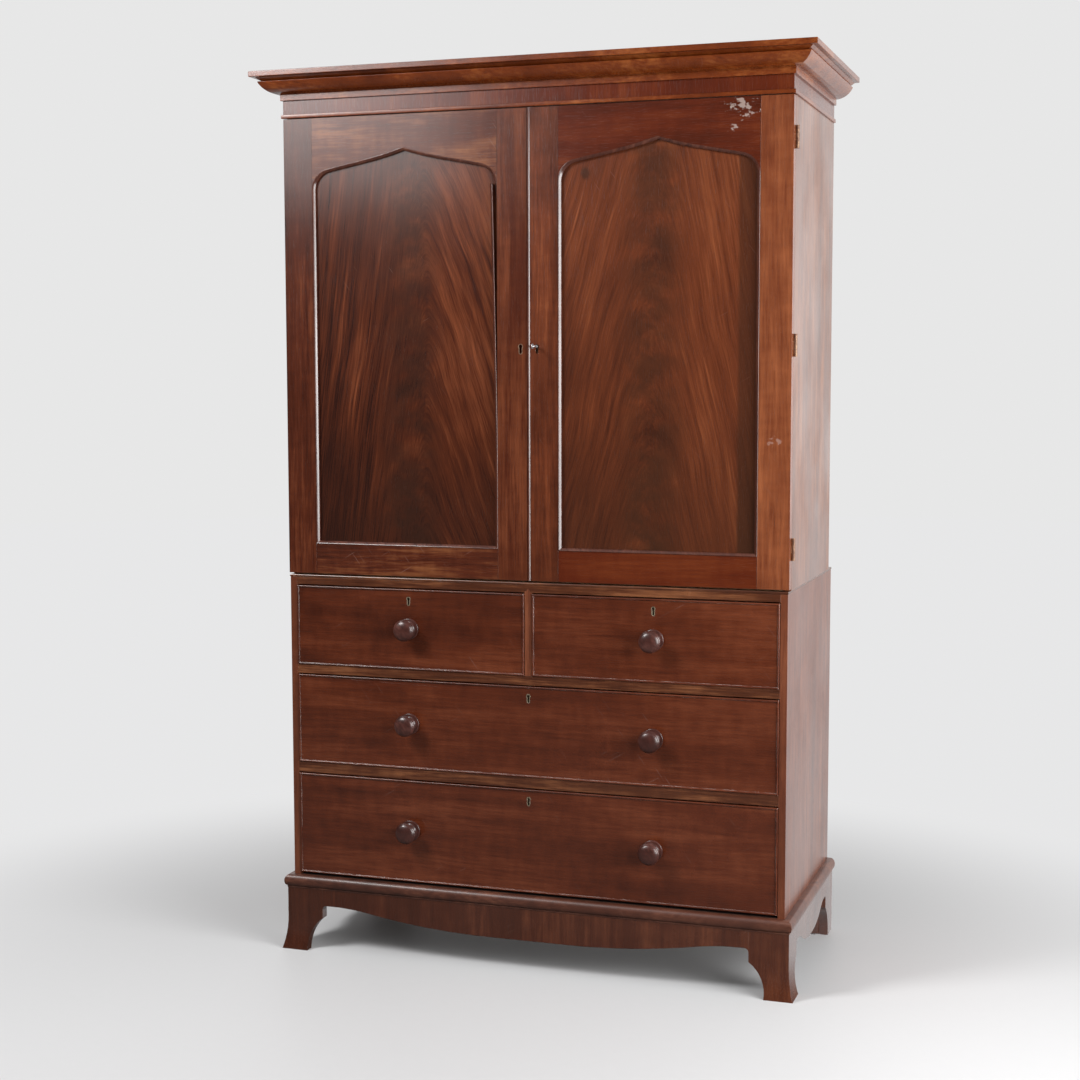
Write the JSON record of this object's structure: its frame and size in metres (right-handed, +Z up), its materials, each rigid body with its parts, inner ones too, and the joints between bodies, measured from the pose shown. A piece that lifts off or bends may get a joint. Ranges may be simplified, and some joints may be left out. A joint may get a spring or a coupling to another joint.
{
  "type": "linen press",
  "caption": "Mahogany linen press with a projecting cornice, arched panelled doors, drawers with turned knobs, and shaped bracket feet.",
  "frame": {"origin": "centre of the bounding box, at the floor under the feet", "axes": "+X to the right of the piece, -Y out of the doors and drawers, +Z up"},
  "size_m": [1.365, 0.626, 2.15],
  "materials": {
    "plinth": "polished mahogany",
    "chest_case": "polished mahogany",
    "drawer_fronts": "polished mahogany",
    "press_case": "polished mahogany",
    "cornice": "polished mahogany",
    "door_stiles": "polished mahogany",
    "door_rails": "polished mahogany",
    "door_panel": "polished flame mahogany",
    "door_beads": "polished mahogany",
    "inner_timber": "unpolished oak and pine",
    "knobs": "dark polished turnings",
    "brass": "dull brass",
    "lock_brass": "dull brass",
    "lock_steel": "worn steel",
    "key_steel": "worn steel"
  },
  "bodies": {
    "carcass": {"feet_front": "plinth", "feet_back": "plinth", "apron_front": "plinth", "aprons_side": "plinth", "base_moulding": "plinth", "chest_sides": "chest_case", "chest_top": "chest_case", "drawer_rails": "chest_case", "drawer_divider": "chest_case", "chest_bottom_board": "inner_timber", "chest_back_boards": "inner_timber", "upper_runners": "inner_timber", "lower_runners": "inner_timber", "press_sides": "press_case", "press_top_board": "press_case", "press_bottom_board": "press_case", "press_back_boards": "inner_timber", "tray_bearers": "inner_timber", "linen_tray_1": "inner_timber", "linen_tray_2": "inner_timber", "linen_tray_3": "inner_timber", "linen_tray_4": "inner_timber", "case_hinges": "brass", "cornice_frieze": "cornice", "cornice_mouldings": "cornice"},
    "left_door": {"left_door_stiles": "door_stiles", "left_door_rails": "door_rails", "left_door_panel": "door_panel", "left_door_beads": "door_beads", "left_door_brassware": "brass"},
    "right_door": {"right_door_stiles": "door_stiles", "right_door_rails": "door_rails", "right_door_panel": "door_panel", "right_door_beads": "door_beads", "right_door_brassware": "brass", "door_lock_case": "lock_brass"},
    "left_top_bolt": {"left_door_top_bolt": "brass"},
    "left_bottom_bolt": {"left_door_bottom_bolt": "brass"},
    "door_lock": {"door_lock_bolt": "lock_steel"},
    "key": {"door_key": "key_steel"},
    "top_left_drawer": {"top_left_drawer_front": "drawer_fronts", "top_left_drawer_box": "inner_timber", "top_left_drawer_knobs": "knobs", "top_left_drawer_lock": "lock_brass"},
    "top_left_lock": {"top_left_drawer_bolt": "lock_steel"},
    "top_right_drawer": {"top_right_drawer_front": "drawer_fronts", "top_right_drawer_box": "inner_timber", "top_right_drawer_knobs": "knobs", "top_right_drawer_lock": "lock_brass"},
    "top_right_lock": {"top_right_drawer_bolt": "lock_steel"},
    "middle_drawer": {"middle_drawer_front": "drawer_fronts", "middle_drawer_box": "inner_timber", "middle_drawer_knobs": "knobs", "middle_drawer_lock": "lock_brass"},
    "middle_lock": {"middle_drawer_bolt": "lock_steel"},
    "bottom_drawer": {"bottom_drawer_front": "drawer_fronts", "bottom_drawer_box": "inner_timber", "bottom_drawer_knobs": "knobs", "bottom_drawer_lock": "lock_brass"},
    "bottom_lock": {"bottom_drawer_bolt": "lock_steel"}
  },
  "joints": [
    {"name": "left_door_swing", "type": "hinge", "parent": "carcass", "child": "left_door", "pos_m": [-0.6258, -0.2295, 1.4925], "axis": [0, 0, -1], "range_deg": [0, 170]},
    {"name": "right_door_swing", "type": "hinge", "parent": "carcass", "child": "right_door", "pos_m": [0.6258, -0.2295, 1.4925], "axis": [0, 0, 1], "range_deg": [0, 170]},
    {"name": "top_left_drawer_slide", "type": "slide", "parent": "carcass", "child": "top_left_drawer", "axis": [0, -1, 0], "range_m": [0, 0.4]},
    {"name": "top_right_drawer_slide", "type": "slide", "parent": "carcass", "child": "top_right_drawer", "axis": [0, -1, 0], "range_m": [0, 0.4]},
    {"name": "middle_drawer_slide", "type": "slide", "parent": "carcass", "child": "middle_drawer", "axis": [0, -1, 0], "range_m": [0, 0.4]},
    {"name": "bottom_drawer_slide", "type": "slide", "parent": "carcass", "child": "bottom_drawer", "axis": [0, -1, 0], "range_m": [0, 0.4]},
    {"name": "top_left_lock_bolt", "type": "slide", "parent": "top_left_drawer", "child": "top_left_lock", "axis": [0, 0, 1], "range_m": [0, 0.008]},
    {"name": "top_right_lock_bolt", "type": "slide", "parent": "top_right_drawer", "child": "top_right_lock", "axis": [0, 0, 1], "range_m": [0, 0.008]},
    {"name": "middle_lock_bolt", "type": "slide", "parent": "middle_drawer", "child": "middle_lock", "axis": [0, 0, 1], "range_m": [0, 0.008]},
    {"name": "bottom_lock_bolt", "type": "slide", "parent": "bottom_drawer", "child": "bottom_lock", "axis": [0, 0, 1], "range_m": [0, 0.008]},
    {"name": "left_top_bolt_slide", "type": "slide", "parent": "left_door", "child": "left_top_bolt", "axis": [0, 0, 1], "range_m": [0, 0.012]},
    {"name": "left_bottom_bolt_slide", "type": "slide", "parent": "left_door", "child": "left_bottom_bolt", "axis": [0, 0, -1], "range_m": [0, 0.012]},
    {"name": "key_turn", "type": "hinge", "parent": "right_door", "child": "key", "pos_m": [0.02325, -0.252, 1.4935], "axis": [0, -1, 0], "range_deg": [0, 180]},
    {"name": "door_lock_bolt_slide", "type": "slide", "parent": "right_door", "child": "door_lock", "axis": [-1, 0, 0], "range_m": [0, 0.009]}
  ],
  "couplings": [
    {"joint": "key_turn", "follows": "door_lock_bolt_slide", "rad_per_m": 349}
  ]
}
